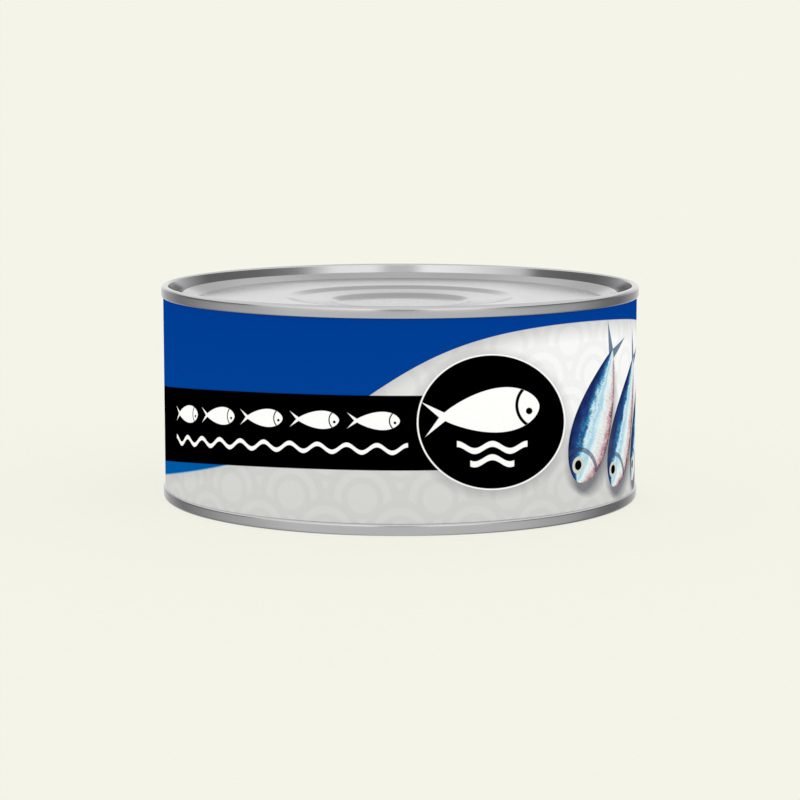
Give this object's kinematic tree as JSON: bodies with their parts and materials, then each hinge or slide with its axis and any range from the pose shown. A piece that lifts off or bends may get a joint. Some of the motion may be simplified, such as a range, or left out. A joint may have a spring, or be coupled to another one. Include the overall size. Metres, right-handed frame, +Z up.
{
  "type": "sardine tin",
  "caption": "Sealed round sardine tin: a printed steel body closed top and bottom by seamed steel ends with recessed, stepped panels.",
  "frame": {"origin": "centre of the ring on the bottom seam that the tin stands on", "axes": "+Z up along the tin's axis, -Y towards the front of the print"},
  "size_m": [0.13, 0.13, 0.058],
  "materials": {
    "printed_steel": "glossy print on tinplate: blue field, white sweep, black band and roundel",
    "bare_steel": "bare tinplate, bright on the seams and softly brushed on the panels"
  },
  "bodies": {
    "root": {"printed_body": "printed_steel", "top_end": "bare_steel", "bottom_end": "bare_steel"}
  },
  "joints": []
}
